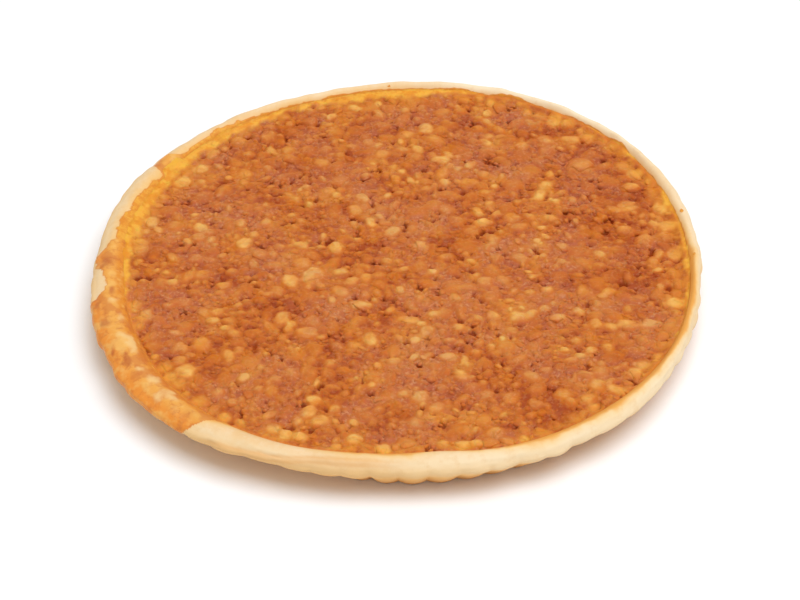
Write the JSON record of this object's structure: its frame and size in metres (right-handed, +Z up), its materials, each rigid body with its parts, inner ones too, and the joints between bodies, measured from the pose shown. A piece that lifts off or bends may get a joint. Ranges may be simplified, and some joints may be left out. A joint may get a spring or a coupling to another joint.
{
  "type": "macadamia pie",
  "caption": "Whole uncut round pie: a low pale pastry shell with a rolled rim and soft fluted sides, filled to the brim with chopped nuts set in a browned caramel custard.",
  "frame": {"origin": "middle of the flat underside of the crust, on the surface it stands on", "axes": "+Z up out of the filling, -Y towards the front as it is served, +X to the right"},
  "size_m": [0.2378, 0.2385, 0.0188],
  "materials": {
    "pastry": "matt pale baked shortcrust, browner on the left rim",
    "nut_custard": "chopped nuts fused by browned caramel, low gloss",
    "macadamia": "caramel coated nut, low gloss"
  },
  "bodies": {
    "root": {"crust": "pastry", "filling": "nut_custard", "nut_01": "macadamia", "nut_02": "macadamia", "nut_03": "macadamia", "nut_04": "macadamia", "nut_05": "macadamia", "nut_06": "macadamia", "nut_07": "macadamia", "nut_08": "macadamia", "nut_09": "macadamia", "nut_10": "macadamia", "nut_11": "macadamia", "nut_12": "macadamia"}
  },
  "joints": []
}
